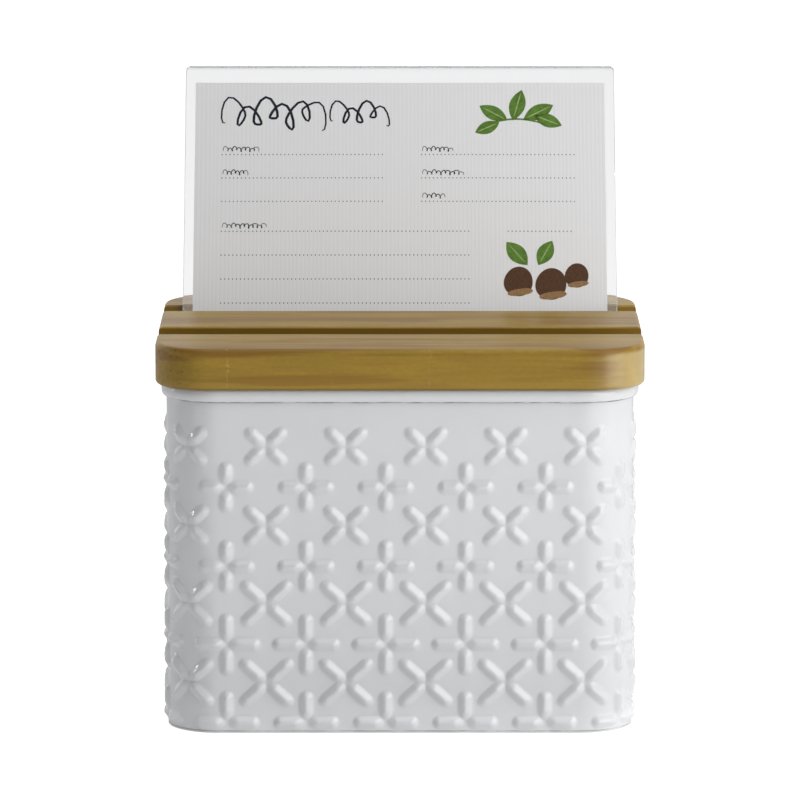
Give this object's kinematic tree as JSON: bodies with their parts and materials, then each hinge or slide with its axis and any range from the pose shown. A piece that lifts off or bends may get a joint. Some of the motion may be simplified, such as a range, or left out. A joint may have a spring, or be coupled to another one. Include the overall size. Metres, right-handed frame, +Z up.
{
  "type": "index card tin with stand lid",
  "caption": "Enamelled tin for index cards under a thick grooved wooden lid that holds a clear pane and a card upright for reading.",
  "frame": {"origin": "on the table, below the middle of the box that holds the whole object", "axes": "+X to the right across the tin, +Y to the back, +Z up; the front with the empty groove faces -Y"},
  "size_m": [0.174, 0.1466, 0.2229],
  "materials": {
    "enamel": "gloss white enamel",
    "lid_wood": "pale brown, thin satin varnish",
    "plug_wood": "bare, sanded",
    "screw_steel": "zinc plated",
    "clear_acrylic": "clear, polished edges",
    "card_paper": "white ribbed paper card",
    "divider_board": "uncoated board"
  },
  "bodies": {
    "tin": {"tin_wall": "enamel", "tin_base": "enamel", "recipe_cards_1": "card_paper", "recipe_cards_2": "card_paper", "recipe_cards_3": "card_paper", "recipe_cards_4": "card_paper", "recipe_cards_5": "card_paper", "divider_1": "divider_board", "divider_2": "divider_board", "divider_3": "divider_board", "divider_4": "divider_board", "divider_5": "divider_board"},
    "lid": {"lid_board": "lid_wood", "lid_plug": "plug_wood", "plug_screws": "screw_steel"},
    "pane": {"card_shield": "clear_acrylic"},
    "card": {"display_card": "card_paper"}
  },
  "joints": [
    {"name": "lid_lift", "type": "slide", "parent": "tin", "child": "lid", "axis": [0, 0, 1], "range_m": [0, 0.04]},
    {"name": "pane_lift", "type": "slide", "parent": "lid", "child": "pane", "axis": [0, 0.5, 0.866], "range_m": [0, 0.02]},
    {"name": "card_lift", "type": "slide", "parent": "lid", "child": "card", "axis": [0, 0.5, 0.866], "range_m": [0, 0.02]}
  ]
}
